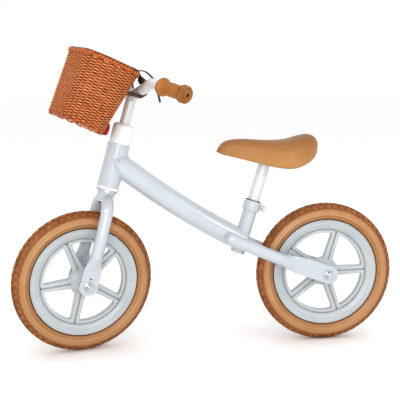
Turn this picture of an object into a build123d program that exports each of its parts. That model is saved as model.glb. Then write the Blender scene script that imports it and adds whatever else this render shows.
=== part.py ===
from build123d import *
import os
from math import acos, atan2, cos, degrees, radians, sin, tan

# A child's balance bike: a curved main tube with welded stays, two five-spoke wheels with air
# tyres, a height-adjustable saddle and a height-adjustable bar that carries a wicker basket.
# Millimetres. X forward, Y to the rider's left, Z up. The origin is on the ground in the middle
# plane, half way between the axles.

os.makedirs("parts", exist_ok=True)

# ---- driving dimensions: stance ----
wheelbase = 530.0
head_tilt = 16.0
seat_tilt = 17.5
steer_at_rest = 15.0

# ---- driving dimensions: tyre and tube ----
tyre_radius = 152.5
tyre_section_radius = 20.0
tyre_wall = 3.8
tube_clearance = 0.3
tube_wall = 1.0
valve_radius = 3.0
valve_reach = 17.0
valve_hole_clearance = 0.8

# ---- driving dimensions: moulded wheel ----
lip_width = 28.6
lip_height = 3.8
lip_thickness = 2.0
bead_depth = 10.2
well_depth = 2.5
well_half_width = 7.0
ring_thickness = 9.5
ring_chamfer = 2.0
annulus_width = 10.0
web_thickness = 4.0
window_lip = 6.3
window_lip_half = 7.5
window_lip_round = 1.6
window_corner = 8.0
window_point = 3.0
spoke_count = 5
spoke_width_outer = 15.5
spoke_width_inner = 30.0
hub_radius = 18.0
hub_half_length = 30.0
hub_disc_radius = 28.0
hub_shoulder = 22.0
hub_bore_radius = 10.5
front_spoke_phase = 45.0
rear_spoke_phase = 31.0
front_valve_angle = 102.0
rear_valve_angle = 15.0

# ---- driving dimensions: axles and wheel bearings ----
axle_radius = 5.0
axle_stub = 4.0
axle_stub_radius = 4.6
bearing_outer_radius = 13.0
bearing_width = 8.0
bearing_wall = 2.2
ball_radius = 2.38
ball_count = 7
ball_clearance = 0.07
shield_thickness = 0.6
shield_clearance = 0.4
spacer_radius = 8.0
washer_radius = 10.5
washer_thickness = 1.5
axle_nut_height = 8.0
axle_nut_radius = 9.0

# ---- driving dimensions: frame tubes ----
head_tube_radius = 23.5
head_tube_wall = 3.5
head_tube_low = 210.0
head_tube_high = 296.0
main_tube_radius = 24.0
main_tube_wall = 2.0
main_tube_top = (187.0, 403.5)
main_tube_middle = (65.6, 314.5)
main_tube_end = (-84.0, 225.6)
main_tube_cap = 4.0
seat_tube_radius = 15.5
seat_tube_wall = 1.9
seat_tube_foot = (-70.0, 202.0)
seat_tube_length = 118.0
stay_radius = 13.5
stay_wall = 1.8
stay_nose_radius = 15.0
stay_front = (-53.0, 33.0, 237.0)
stay_bend = (-112.0, 38.5, 210.5)
stay_crimp_start = (-158.0, 40.5, 190.5)
stay_crimp_end_x = -200.0
dropout_width = 38.0
dropout_thickness = 5.5
dropout_end_radius = 20.0
rear_dropout_centre_y = 41.25

# ---- driving dimensions: headset ----
steerer_radius = 12.7
steerer_foot = 176.0
steerer_top = 331.0
head_cup_radius = 24.5
cup_skirt_depth = 12.0
cup_bore_radius = 14.5
race_gap = 0.6
race_radius = 22.5
head_ball_radius = 2.4
head_ball_pitch = 17.5
head_ball_count = 18
cup_height = 6.0
crown_top = 199.0
cone_radius = 20.0
cone_height = 5.5
lock_nut_height = 5.0
lock_nut_radius = 18.5
cover_radius = 22.5
cover_height = 43.0
cover_dome = 9.0
cover_gap = 1.0
cover_hole_clearance = 0.5

# ---- driving dimensions: fork ----
crown_radius = 19.0
leg_radius = 13.0
leg_wall = 2.0
leg_shoulder = (34.0, 176.0)
leg_knee = (43.0, 110.0)
leg_crimp_start = 62.0
leg_crimp_end = 34.0
leg_bend_radius = 26.0
leg_centre_y = 44.5
tab_hole_radius = 2.2
tab_hole_height = 17.0

# ---- driving dimensions: stem, bar and grips ----
bar_radius = 11.1
bar_wall = 1.6
slide_clearance = 0.05
stem_foot = 236.0
bar_height = 406.0
bar_bend_low = (2.0, 14.0, 406.0)
bar_bend_high = (-5.0, 84.0, 440.0)
bar_end = (-41.0, 185.2, 434.2)
bar_radius_low = 22.0
bar_radius_high = 28.0
grip_start = 31.0
grip_flange_radius = 16.8
grip_flange = 4.0
grip_neck_radius = 14.0
grip_bulge_radius = 16.0
grip_cap = 4.0
grip_vent_radius = 2.0
collar_radius = 19.0
collar_height = 18.0
collar_slit = 2.0
collar_screw_radius = 2.0
collar_screw_offset = 14.9
collar_screw_half = 8.5
collar_head_radius = 3.0
collar_head_height = 3.0

# ---- driving dimensions: basket ----
basket_centre = (77.5, 461.2)
basket_tilt = 8.2
basket_depth = 122.0
basket_width = 200.0
basket_corner = 50.0
basket_height = 136.0
basket_foot_depth = 99.0
basket_foot_width = 165.0
basket_foot_corner = 40.0
basket_foot_shift = 4.5
basket_wall = 5.0
basket_rim_height = 9.0
basket_rim_overhang = 2.5
basket_border_height = 7.0
basket_border_width = 7.0
strap_side = 42.0
strap_width = 12.0
strap_thickness = 2.2
strap_clearance = 0.15
strap_corners = [(34.5, -10.8), (26.0, 40.2), (14.5, 38.2)]
strap_corner_radius = 1.0
buckle_length = 10.0
buckle_rim = 1.6
bumper_radius = 14.0
bumper_height = 326.0
bumper_face = 32.5
bumper_depth = 24.0

# ---- driving dimensions: seat ----
post_radius = 12.5
post_wall = 1.8
post_inserted = 80.0
clamp_radius = 19.0
clamp_height = 21.0
clamp_ear_reach = 30.0
clamp_ear_half_width = 8.0
clamp_ear_height = 13.0
clamp_slit = 2.5
clamp_screw_radius = 2.5
clamp_screw_offset = 24.5
clamp_head_radius = 4.2
clamp_head_height = 4.0
clamp_nut_height = 4.0
saddle_plate_height = 401.0
saddle_plate_thickness = 3.0
saddle_plate_size = (58.0, 42.0)
saddle_boss_size = (60.0, 44.0)
saddle_bolt_radius = 2.5
saddle_bolt_spacing = (40.0, 28.0)
saddle_bolt_depth = 7.0
saddle_bolt_head_radius = 4.5
saddle_bolt_head_height = 3.5
saddle_skin = 5.0
saddle_pan_thickness = 5.0
# each saddle station: x, half width, crown height, hem height
saddle_stations = [
    (-24.5, 8.0, 427.0, 419.5),
    (-33.0, 15.0, 437.5, 417.5),
    (-48.0, 20.0, 446.0, 414.0),
    (-78.0, 25.0, 449.0, 406.5),
    (-112.0, 34.0, 446.8, 397.5),
    (-148.0, 50.0, 445.3, 389.5),
    (-180.0, 60.0, 447.5, 387.0),
    (-205.0, 58.0, 454.0, 394.0),
    (-225.0, 47.0, 457.8, 405.0),
    (-240.0, 30.0, 452.0, 416.0),
    (-247.0, 15.0, 442.0, 424.0),
]

# ---- values worked out from the driving dimensions ----
axle_height = tyre_radius
section_centre = tyre_radius - tyre_section_radius
lip_half = lip_width / 2
lip_radius = section_centre - tyre_section_radius + lip_height
bead_half = lip_half - lip_thickness
bead_seat = lip_radius - bead_depth
well_radius = bead_seat - well_depth
ring_inner = well_radius - ring_thickness
window_radius = ring_inner - annulus_width
bearing_mid = hub_half_length - bearing_width / 2
bearing_low = hub_half_length - bearing_width
ball_pitch = (axle_radius + bearing_outer_radius) / 2
inner_ring_radius = axle_radius + bearing_wall
outer_ring_radius = bearing_outer_radius - bearing_wall
front_dropout_inner = leg_centre_y - dropout_thickness / 2
front_dropout_outer = leg_centre_y + dropout_thickness / 2
rear_dropout_inner = rear_dropout_centre_y - dropout_thickness / 2
rear_dropout_outer = rear_dropout_centre_y + dropout_thickness / 2
seat_tube_bore = seat_tube_radius - seat_tube_wall
clamp_low = seat_tube_length - clamp_height
lower_ball_height = crown_top + 5.0
upper_ball_height = head_tube_high + cup_height
cone_base = upper_ball_height + race_gap / 2
lock_nut_base = cone_base + cone_height
collar_base = steerer_top - collar_height
cover_base = upper_ball_height + cover_gap

# ---- places ----
front_axle_place = (wheelbase / 2, 0, axle_height)
rear_place = Pos(-wheelbase / 2, 0, axle_height)
head_plane = Plane(
    origin=front_axle_place,
    x_dir=(cos(radians(head_tilt)), 0, sin(radians(head_tilt))),
    z_dir=(-sin(radians(head_tilt)), 0, cos(radians(head_tilt))),
)
head_place = Location(head_plane)
steered = head_place * Rot(0, 0, steer_at_rest)
seat_plane = Plane(
    origin=(seat_tube_foot[0], 0, seat_tube_foot[1]),
    x_dir=(cos(radians(seat_tilt)), 0, sin(radians(seat_tilt))),
    z_dir=(-sin(radians(seat_tilt)), 0, cos(radians(seat_tilt))),
)
seat_place = Location(seat_plane)


# ---- small helpers ----
def rod(radius, low, high):
    """A cylinder on the Z axis between two heights."""
    return Pos(0, 0, low) * Cylinder(radius, high - low, align=(Align.CENTER, Align.CENTER, Align.MIN))


def sleeve(outer, inner, low, high):
    """A ring on the Z axis between two heights."""
    return rod(outer, low, high) - rod(inner, low, high)


def cross_rod(radius, low, high):
    """A cylinder on the Y axis between two values of y."""
    return Rot(-90, 0, 0) * rod(radius, low, high)


def cross_sleeve(outer, inner, low, high):
    """A ring on the Y axis between two values of y."""
    return cross_rod(outer, low, high) - cross_rod(inner, low, high)


def on_both_sides(shape):
    """A shape and its mirror image across the middle plane, as two solids."""
    return [shape, mirror(shape, Plane.XZ)]


def turned_profile(points):
    """A closed outline of (radius, y) points turned round the Y axis."""
    return revolve(make_face(Polyline(*points, close=True)), Axis.Y)


def save(name, shape):
    """Write one node's solids to its own file."""
    solids = []
    pieces = shape if isinstance(shape, list) else [shape]
    for piece in pieces:
        solids += piece.solids()
    export_step(solids[0] if len(solids) == 1 else Compound(children=solids), f"parts/{name}.step")


# ---- wheels ----
def wheel_ring():
    """The rim's turned section: tyre well, bead seats, flanges and a solid inner ring."""
    side = [
        (well_radius, 0),
        (well_radius, well_half_width),
        (bead_seat, well_half_width + 1.0),
        (bead_seat, bead_half),
        (lip_radius - 0.8, bead_half),
        (lip_radius, bead_half + 0.7),
        (lip_radius, lip_half - 0.7),
        (lip_radius - 0.8, lip_half),
        (ring_inner + ring_chamfer, lip_half),
        (ring_inner, lip_half - ring_chamfer),
    ]
    other = [(radius, -y) for radius, y in reversed(side)]
    return turned_profile(side + other[:-1])


def wheel_windows():
    """The five openings between the spokes, drawn flat with rounded corners."""
    openings = Circle(window_radius) - Circle(hub_disc_radius)
    for index in range(spoke_count):
        arm = Polygon(
            (0, -spoke_width_inner / 2),
            (ring_inner, -spoke_width_outer / 2),
            (ring_inner, spoke_width_outer / 2),
            (0, spoke_width_inner / 2),
            align=None,
        )
        openings -= Rot(0, 0, index * 360 / spoke_count) * arm
    half_way = (hub_disc_radius + window_radius) / 2
    outer = openings.vertices().filter_by(lambda corner: Vector(*corner).length > half_way)
    openings = fillet(outer, window_corner)
    inner = openings.vertices().filter_by(lambda corner: Vector(*corner).length < half_way)
    return fillet(inner, window_point)


def window_frames(windows):
    """The raised lip round each window; two lips leave a groove down every spoke."""
    frames = extrude(offset(windows, window_lip), window_lip_half, both=True)
    frames = chamfer(frames.edges().group_by(Axis.Z)[0] + frames.edges().group_by(Axis.Z)[-1],
                     window_lip_round)
    return frames - extrude(windows, window_lip_half, both=True)


def wheel_rim(spoke_phase, valve_angle):
    """A moulded wheel: ring, web with five framed windows and a hub bored for two bearings."""
    windows = wheel_windows()
    web = extrude(Circle(ring_inner + 1.0), web_thickness / 2, both=True)
    web -= extrude(windows, web_thickness, both=True)
    web += window_frames(windows)
    shape = Rot(-90, 0, 0) * web
    shape += wheel_ring()
    shoulder = [
        (hub_radius - 2.0, hub_shoulder),
        (hub_radius, hub_shoulder),
        (hub_disc_radius - 2.0, window_lip_half),
        (hub_disc_radius - 2.0, -window_lip_half),
        (hub_radius, -hub_shoulder),
        (hub_radius - 2.0, -hub_shoulder),
    ]
    shape += turned_profile(shoulder)
    shape += cross_rod(hub_radius, -hub_half_length, hub_half_length)
    shape -= cross_rod(hub_bore_radius, -hub_half_length, hub_half_length)
    shape -= cross_rod(bearing_outer_radius, bearing_low, hub_half_length)
    shape -= cross_rod(bearing_outer_radius, -hub_half_length, -bearing_low)
    shape = Rot(0, -spoke_phase, 0) * shape
    hole = Rot(0, 90, 0) * rod(valve_radius + valve_hole_clearance, window_radius - 5.0, lip_radius)
    return shape - Rot(0, -valve_angle, 0) * hole


def tyre():
    """An air tyre: a round casing that closes into two beads inside the rim flanges."""
    casing = turned_circle(section_centre, tyre_section_radius)
    casing -= turned_circle(section_centre, tyre_section_radius - tyre_wall)
    keep = lip_radius + 0.3
    casing -= cross_rod(keep, -tyre_section_radius - 1, tyre_section_radius + 1)
    bead_inner = bead_half - tyre_wall
    bead = turned_profile([
        (bead_seat, bead_inner),
        (bead_seat, bead_half),
        (keep + 0.4, bead_half),
        (keep + 2.0, bead_inner),
    ])
    return casing + bead + mirror(bead, Plane.XZ)


def turned_circle(centre, radius):
    """A solid ring of round section about the Y axis."""
    return revolve(Pos(centre, 0) * Circle(radius), Axis.Y)


def inner_tube(valve_angle):
    """A hollow butyl tube with its rubber valve pointing at the axle."""
    outside = tyre_section_radius - tyre_wall - tube_clearance
    wall = Pos(section_centre, 0) * (Circle(outside) - Circle(outside - tube_wall))
    foot = section_centre - outside
    stem = Rot(0, 90, 0) * rod(valve_radius, window_radius - valve_reach, foot + tube_wall * 0.6)
    return revolve(wall, Axis.Y) + Rot(0, -valve_angle, 0) * stem


def bearing_outer_ring():
    """One outer race with its two thin shields, centred on the left bearing."""
    half = bearing_width / 2
    shield = inner_ring_radius + shield_clearance
    ring = turned_profile([
        (bearing_outer_radius, -half),
        (bearing_outer_radius, half),
        (shield, half),
        (shield, half - shield_thickness),
        (outer_ring_radius, half - shield_thickness),
        (outer_ring_radius, shield_thickness - half),
        (shield, shield_thickness - half),
        (shield, -half),
    ])
    ring -= turned_circle(ball_pitch, ball_radius + ball_clearance)
    return Pos(0, bearing_mid, 0) * ring


def bearing_inner_ring():
    """One inner race on the axle, with a groove for the balls."""
    half = bearing_width / 2
    ring = cross_sleeve(inner_ring_radius, axle_radius, -half, half)
    ring -= turned_circle(ball_pitch, ball_radius + ball_clearance)
    return Pos(0, bearing_mid, 0) * ring


def bearing_balls():
    """The balls of both wheel bearings."""
    balls = []
    for side in (bearing_mid, -bearing_mid):
        for index in range(ball_count):
            turn = Rot(0, index * 360 / ball_count, 0)
            balls.append(turn * Pos(ball_pitch, side, 0) * Sphere(ball_radius))
    return balls


def wheel_axle(dropout_outer):
    """A solid axle that shows a short turned-down stub past each nut."""
    nut_face = dropout_outer + washer_thickness + axle_nut_height
    end = nut_face + axle_stub
    return cross_rod(axle_radius, -nut_face, nut_face) + cross_rod(axle_stub_radius, -end, end)


def axle_spacers(dropout_inner):
    """The sleeve between the two bearings and the two outer spacers."""
    outer = cross_sleeve(spacer_radius, axle_radius, hub_half_length, dropout_inner)
    middle = cross_sleeve(inner_ring_radius - 0.2, axle_radius, -bearing_low, bearing_low)
    return on_both_sides(outer) + [middle]


def axle_washers(dropout_outer):
    """One flat washer on each side."""
    disc = cross_sleeve(washer_radius, axle_radius, dropout_outer, dropout_outer + washer_thickness)
    return on_both_sides(disc)


def axle_nuts(dropout_outer):
    """One hexagon nut on each side, chamfered at its outer corners."""
    base = dropout_outer + washer_thickness
    hexagon = extrude(RegularPolygon(axle_nut_radius, 6), axle_nut_height)
    cone = Cone(axle_nut_radius + 1.5, axle_nut_radius - 1.5, axle_nut_height,
                align=(Align.CENTER, Align.CENTER, Align.MIN))
    nut = (hexagon & cone) - rod(axle_radius, 0, axle_nut_height)
    return on_both_sides(Pos(0, base, 0) * Rot(-90, 0, 0) * nut)


def place_all(place, shape):
    """Move one shape or a list of shapes to its place on the bike."""
    if isinstance(shape, list):
        return [place * piece for piece in shape]
    return place * shape


# ---- frame ----
def main_tube_path():
    """The gentle arc that the main tube follows, from the head tube to the seat tube."""
    ends = [(x, 0, z) for x, z in (main_tube_top, main_tube_middle, main_tube_end)]
    return ThreePointArc(*ends)


def head_tube():
    """The short upright tube that holds the headset cups."""
    return head_place * sleeve(head_tube_radius, head_tube_radius - head_tube_wall,
                               head_tube_low, head_tube_high)


def main_tube():
    """The curved main tube, coped to the head tube and round the seat tube, closed at the back."""
    path = main_tube_path()
    outer = sweep(Plane(path @ 0, z_dir=path % 0) * Circle(main_tube_radius), path)
    bore = sweep(Plane(path @ 0, z_dir=path % 0) * Circle(main_tube_radius - main_tube_wall), path)
    bore -= Plane(path @ 1, z_dir=path % 1) * rod(main_tube_radius, -main_tube_cap, 1)
    tube = outer - bore
    tube -= head_place * rod(head_tube_radius, head_tube_low - 30, head_tube_high + 30)
    return tube - seat_place * rod(seat_tube_radius, -20, seat_tube_length)


def seat_tube():
    """The seat tube, slit at the back of its mouth so that the clamp can close it."""
    tube = sleeve(seat_tube_radius, seat_tube_bore, 0, seat_tube_length)
    slit_low = clamp_low - 9.0
    slit = Pos(-seat_tube_radius, 0, (slit_low + seat_tube_length) / 2)
    tube -= slit * Box(seat_tube_radius, clamp_slit, seat_tube_length - slit_low)
    return seat_place * tube


def flattened(plane, length, thickness):
    """An oblong section with round ends, long along the plane's X."""
    return plane * SlotOverall(length, thickness)


def chainstay():
    """The left stay: a round tube with a rounded nose, crimped flat to carry the axle."""
    path = FilletPolyline(stay_front, stay_bend, stay_crimp_start, radius=180.0)
    start = Plane(path @ 0, z_dir=path % 0)
    end = Plane(path @ 1, z_dir=path % 1)
    stay = sweep(start * Circle(stay_radius), path) + Pos(path @ 0) * Sphere(stay_nose_radius)
    axle = Vector(-wheelbase / 2, rear_dropout_centre_y, axle_height)
    share = (stay_crimp_end_x - stay_crimp_start[0]) / (axle.X - stay_crimp_start[0])
    crimp_z = stay_crimp_start[2] + share * (axle_height - stay_crimp_start[2])
    crimp = Vector(stay_crimp_end_x, rear_dropout_centre_y, crimp_z)
    run = (axle - crimp).normalized()
    upward = Vector(0, 1, 0).cross(run).normalized()
    section = Plane(origin=crimp, x_dir=upward, z_dir=run)
    round_end = Plane(origin=path @ 1, x_dir=upward, z_dir=path % 1)
    stay += loft([round_end * Circle(stay_radius), flattened(section, dropout_width, dropout_thickness)])
    flat = Plane(origin=crimp, x_dir=run, z_dir=(0, 1, 0))
    reach = (axle - crimp).length
    blade = Pos(reach / 2, 0) * Rectangle(reach, dropout_width)
    blade += Pos(reach, 0) * Circle(dropout_end_radius)
    stay += flat * extrude(blade, dropout_thickness / 2, both=True)
    stay -= rear_place * cross_rod(axle_radius, 0, rear_dropout_outer + 5)
    bore = sweep(start * Circle(stay_radius - stay_wall), path)
    stay -= bore
    main_path = main_tube_path()
    stay -= sweep(Plane(main_path @ 0, z_dir=main_path % 0) * Circle(main_tube_radius), main_path)
    return stay - seat_place * rod(seat_tube_radius, -20, seat_tube_length)


def head_cup(ball_height, outward):
    """A pressed-in cup with a groove for the balls; outward is +1 for the upper cup."""
    face = abs(ball_height - race_gap / 2 * outward)
    seat = head_tube_high if outward > 0 else head_tube_low
    low, high = min(face, seat), max(face, seat)
    cup = sleeve(head_cup_radius, cup_bore_radius, low, high)
    skirt_end = seat - outward * cup_skirt_depth
    cup += sleeve(head_tube_radius - head_tube_wall, cup_bore_radius, min(seat, skirt_end),
                  max(seat, skirt_end))
    groove = Pos(0, 0, ball_height) * Torus(head_ball_pitch, head_ball_radius + ball_clearance)
    return head_place * (cup - groove)


def seat_clamp():
    """A slit collar round the top of the seat tube with two ears at the back."""
    collar = sleeve(clamp_radius, seat_tube_radius, clamp_low, seat_tube_length)
    ear_middle = clamp_low + clamp_height / 2
    ears = Pos(-(clamp_ear_reach + seat_tube_radius) / 2, 0, ear_middle)
    ears *= Box(clamp_ear_reach - seat_tube_radius, clamp_ear_half_width * 2, clamp_ear_height)
    collar += fillet(ears.edges().filter_by(Axis.Y).group_by(Axis.X)[0], 5.0)
    collar -= rod(seat_tube_radius, clamp_low, seat_tube_length)
    collar -= Pos(-clamp_ear_reach, 0, ear_middle) * Box(clamp_ear_reach * 2, clamp_slit, clamp_height)
    screw = Pos(-clamp_screw_offset, 0, ear_middle)
    screw *= cross_rod(clamp_screw_radius, -clamp_ear_half_width, clamp_ear_half_width)
    return seat_place * (collar - screw)


def seat_clamp_screw():
    """The socket screw through the clamp ears, its head on the left."""
    ear_middle = clamp_low + clamp_height / 2
    half = clamp_ear_half_width
    screw = cross_rod(clamp_screw_radius, -half - clamp_nut_height, half)
    screw += cross_rod(clamp_head_radius, half, half + clamp_head_height)
    socket = extrude(RegularPolygon(clamp_screw_radius * 0.8, 6), clamp_head_height * 0.6)
    screw -= Pos(0, half + clamp_head_height * 0.4, 0) * Rot(-90, 0, 0) * socket
    return seat_place * Pos(-clamp_screw_offset, 0, ear_middle) * screw


def seat_clamp_nut():
    """The square-shouldered nut on the right ear."""
    ear_middle = clamp_low + clamp_height / 2
    nut = extrude(RegularPolygon(clamp_head_radius + 0.4, 6), clamp_nut_height)
    nut -= rod(clamp_screw_radius, 0, clamp_nut_height)
    nut = Pos(0, -clamp_ear_half_width, 0) * Rot(90, 0, 0) * nut
    return seat_place * Pos(-clamp_screw_offset, 0, ear_middle) * nut


def seat_shim():
    """The plastic sleeve that fills the gap between the seat tube and the post."""
    shim = sleeve(seat_tube_bore, post_radius + slide_clearance, clamp_low - 40.0, seat_tube_length)
    lip = sleeve(seat_tube_radius, post_radius + slide_clearance, seat_tube_length,
                 seat_tube_length + 1.2)
    return seat_place * (shim + lip)


# ---- fork, in the head frame: Z up the steering axis, X forward, Y left ----
def steerer_tube():
    """The steerer, slit at the top so that the collar can grip the stem."""
    tube = sleeve(steerer_radius, bar_radius + slide_clearance, steerer_foot, steerer_top)
    slit = Pos(-steerer_radius, 0, collar_base + collar_height / 2)
    return tube - slit * Box(steerer_radius, collar_slit, collar_height)


def fork_crown():
    """The round crown that joins the steerer and both legs."""
    crown = sleeve(crown_radius, steerer_radius, steerer_foot, crown_top)
    return crown


def fork_leg():
    """The left leg: a round tube that bows out over the tyre and is crimped flat at the axle."""
    shoulder = (0, leg_shoulder[0], leg_shoulder[1])
    knee = (0, leg_knee[0], leg_knee[1])
    last = (0, leg_centre_y, leg_crimp_start)
    path = FilletPolyline((0, 0, steerer_foot + 11.0), shoulder, knee, last, radius=leg_bend_radius)
    start = Plane(path @ 0, z_dir=path % 0)
    end = Plane(origin=path @ 1, x_dir=(1, 0, 0), z_dir=path % 1)
    leg = sweep(start * Circle(leg_radius), path)
    section = Plane(origin=(0, leg_centre_y, leg_crimp_end), x_dir=(1, 0, 0), z_dir=(0, 0, -1))
    leg += loft([end * Circle(leg_radius), flattened(section, dropout_width, dropout_thickness)])
    flat = Plane(origin=(0, leg_centre_y, 0), x_dir=(1, 0, 0), z_dir=(0, -1, 0))
    blade = Pos(0, leg_crimp_end / 2) * Rectangle(dropout_width, leg_crimp_end)
    blade += Circle(dropout_end_radius)
    leg += flat * extrude(blade, dropout_thickness / 2, both=True)
    leg -= cross_rod(axle_radius, 0, front_dropout_outer + 5)
    leg -= Pos(0, 0, tab_hole_height) * cross_rod(tab_hole_radius, 0, front_dropout_outer + 5)
    leg -= sweep(start * Circle(leg_radius - leg_wall), path)
    return leg - rod(crown_radius, steerer_foot - 20, crown_top + 20)


def crown_race():
    """The race pressed on the foot of the steerer."""
    race = sleeve(race_radius, steerer_radius, crown_top, lower_ball_height - race_gap / 2)
    groove = Pos(0, 0, lower_ball_height) * Torus(head_ball_pitch, head_ball_radius + ball_clearance)
    return race - groove


def head_cone():
    """The threaded cone that closes the upper bearing."""
    cone = sleeve(cone_radius, steerer_radius, cone_base, cone_base + cone_height)
    groove = Pos(0, 0, upper_ball_height) * Torus(head_ball_pitch, head_ball_radius + ball_clearance)
    return cone - groove


def head_lock_nut():
    """The hexagon nut that locks the cone."""
    nut = extrude(RegularPolygon(lock_nut_radius, 6), lock_nut_height)
    return Pos(0, 0, lock_nut_base) * (nut - rod(steerer_radius, 0, lock_nut_height))


def head_balls(height):
    """One ring of headset balls."""
    balls = []
    for index in range(head_ball_count):
        turn = Rot(0, 0, index * 360 / head_ball_count)
        balls.append(turn * Pos(head_ball_pitch, 0, height) * Sphere(head_ball_radius))
    return balls


def stem_collar():
    """The slit collar that squeezes the steerer on to the stem."""
    middle = collar_base + collar_height / 2
    collar = sleeve(collar_radius, steerer_radius, collar_base, steerer_top)
    collar -= Pos(-collar_radius, 0, middle) * Box(collar_radius * 2, collar_slit, collar_height)
    half = collar_screw_half
    screw = cross_rod(collar_screw_radius, -collar_radius, collar_radius)
    screw += cross_rod(collar_head_radius, half - collar_head_height, collar_radius)
    return collar - Pos(-collar_screw_offset, 0, middle) * screw


def stem_collar_screw():
    """The socket screw across the collar's slit."""
    middle = collar_base + collar_height / 2
    half = collar_screw_half
    screw = cross_rod(collar_screw_radius, -half, half)
    screw += cross_rod(collar_head_radius, half - collar_head_height, half)
    return Pos(-collar_screw_offset, 0, middle) * screw


def head_cover():
    """The moulded cover over the collar, with a domed top and a hole for the stem."""
    shell = rod(cover_radius, cover_base, cover_base + cover_height)
    shell = fillet(shell.edges().group_by(Axis.Z)[-1], cover_dome)
    cavity = rod(cone_radius, cover_base, cover_base + cover_height - 10.0)
    shell -= cavity
    return shell - rod(bar_radius + cover_hole_clearance, cover_base, cover_base + cover_height)


# ---- stem, bar and basket, in the head frame ----
def bar_path():
    """The bar's centre line: flat over the stem, up and out, then swept back to the grips."""
    half = [bar_end, bar_bend_high, bar_bend_low]
    other = [(x, -y, z) for x, y, z in reversed(half)]
    radii = [bar_radius_high, bar_radius_low, bar_radius_low, bar_radius_high]
    return FilletPolyline(*half, *other, radius=radii)


def bar_solid(radius):
    """The bar's path filled to one radius."""
    path = bar_path()
    return sweep(Plane(path @ 0, z_dir=path % 0) * Circle(radius), path)


def handlebar():
    """The bent bar tube."""
    return bar_solid(bar_radius) - bar_solid(bar_radius - bar_wall)


def stem():
    """The upright stem tube, coped to the underside of the bar."""
    tube = sleeve(bar_radius, bar_radius - bar_wall, stem_foot, bar_height)
    return Pos(0, 0, 0) * tube - bar_solid(bar_radius)


def grip():
    """The left grip: inner flange, slim waist, bulging closed end with a small vent."""
    bend = Vector(*bar_bend_high)
    along = (Vector(*bar_end) - bend).normalized()
    length = (Vector(*bar_end) - bend).length - grip_start
    total = length + grip_cap
    profile = [(bar_radius, 0), (grip_flange_radius - 1, 0), (grip_flange_radius, grip_flange / 2),
               (grip_flange_radius - 1, grip_flange), (grip_neck_radius, grip_flange)]
    outline = Polyline(*profile)
    waist = Spline((grip_neck_radius, grip_flange), (grip_neck_radius + 1.0, total * 0.45),
                   (grip_neck_radius + 0.2, total * 0.72), (grip_bulge_radius, total * 0.88),
                   (grip_bulge_radius - 5.0, total))
    back = Polyline((grip_bulge_radius - 5.0, total), (grip_vent_radius, total),
                    (grip_vent_radius, length), (bar_radius, length), (bar_radius, 0))
    body = revolve(make_face([outline, waist, back]), Axis.Y)
    place = Plane(origin=bend + along * grip_start, z_dir=along, x_dir=(0, 0, 1))
    return place * (Rot(90, 0, 0) * body)


def basket_place():
    """The basket's own frame: origin at the middle of its rim, Z out of its mouth."""
    lean = radians(basket_tilt)
    plane = Plane(
        origin=(basket_centre[0], 0, basket_centre[1]),
        x_dir=(cos(lean), 0, sin(lean)),
        z_dir=(-sin(lean), 0, cos(lean)),
    )
    return Location(plane)


def basket_section(height, inset):
    """The basket's rounded outline at a height below the rim, drawn smaller by the inset."""
    share = -height / basket_height
    depth = basket_depth + share * (basket_foot_depth - basket_depth) - 2 * inset
    width = basket_width + share * (basket_foot_width - basket_width) - 2 * inset
    corner = basket_corner + share * (basket_foot_corner - basket_corner) - inset
    return Pos(share * basket_foot_shift, 0, height) * RectangleRounded(depth, width, corner)


def basket_band(low, high, inset):
    """The basket's tapering form between two heights, filled."""
    return loft([basket_section(low, inset), basket_section(high, inset)])


def strap_outline(round_bar, round_corner):
    """The taut outline of a belt round the bar and the strap's three corners."""
    edges = Circle(round_bar).edges()
    for x, y in strap_corners:
        edges += (Pos(x, y) * Circle(round_corner)).edges()
    return make_hull(edges)


def strap_sketch(grow):
    """A strap's closed loop: under the bar, through the wall, over the rim and back."""
    inner = bar_radius + strap_clearance
    outer = inner + strap_thickness
    corner = strap_corner_radius
    loop = strap_outline(outer + grow, corner + strap_thickness + grow)
    return loop - strap_outline(inner - grow, corner - grow)


def strap_place():
    """The plane square to the bar at the left strap."""
    low = Vector(*bar_bend_low)
    high = Vector(*bar_bend_high)
    share = (strap_side - low.Y) / (high.Y - low.Y)
    run = (high - low).normalized()
    forward = (Vector(1, 0, 0) - run * run.X).normalized()
    return Location(Plane(origin=low + (high - low) * share, x_dir=forward, z_dir=-run))


def strap(grow=0.0):
    """The left strap as a closed leather band."""
    return strap_place() * extrude(strap_sketch(grow), strap_width / 2 + grow, both=True)


def strap_buckle():
    """The left keeper on the strap's run between the bar and the rim."""
    corner = Vector(*strap_corners[-1])
    bar_reach = bar_radius + strap_clearance + strap_thickness / 2
    corner_reach = strap_corner_radius + strap_thickness / 2
    lean = atan2(corner.Y, corner.X) + acos((bar_reach - corner_reach) / corner.length)
    outward = Vector(cos(lean), sin(lean))
    middle = (outward * bar_reach + corner + outward * corner_reach) * 0.5
    frame = Box(strap_thickness + 2 * buckle_rim, buckle_length, strap_width + 2 * buckle_rim)
    frame -= Box(strap_thickness, buckle_length, strap_width)
    return strap_place() * Pos(middle) * Rot(0, 0, degrees(lean)) * frame


def basket():
    """The woven body: tapering walls and a floor, with slots where the straps pass."""
    top = -basket_rim_height
    body = basket_band(-basket_height, top, 0)
    body -= basket_band(-basket_height + basket_wall, top + 1.0, basket_wall)
    body = basket_place() * body
    slot = strap(0.3)
    return body - slot - mirror(slot, Plane.XZ)


def basket_rim():
    """The thick braided border round the mouth."""
    ring = basket_band(-basket_rim_height, 0, -basket_rim_overhang)
    ring = fillet(ring.edges().group_by(Axis.Z)[-1], 3.5)
    ring -= basket_band(-basket_rim_height - 1, 1, basket_wall + 1.0)
    return basket_place() * ring


def basket_border():
    """The looped border that the basket stands on."""
    low = -basket_height - basket_border_height
    ring = basket_band(low, -basket_height, 0.5)
    ring -= basket_band(low - 1, -basket_height + 1, 0.5 + basket_border_width)
    return basket_place() * ring


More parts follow.
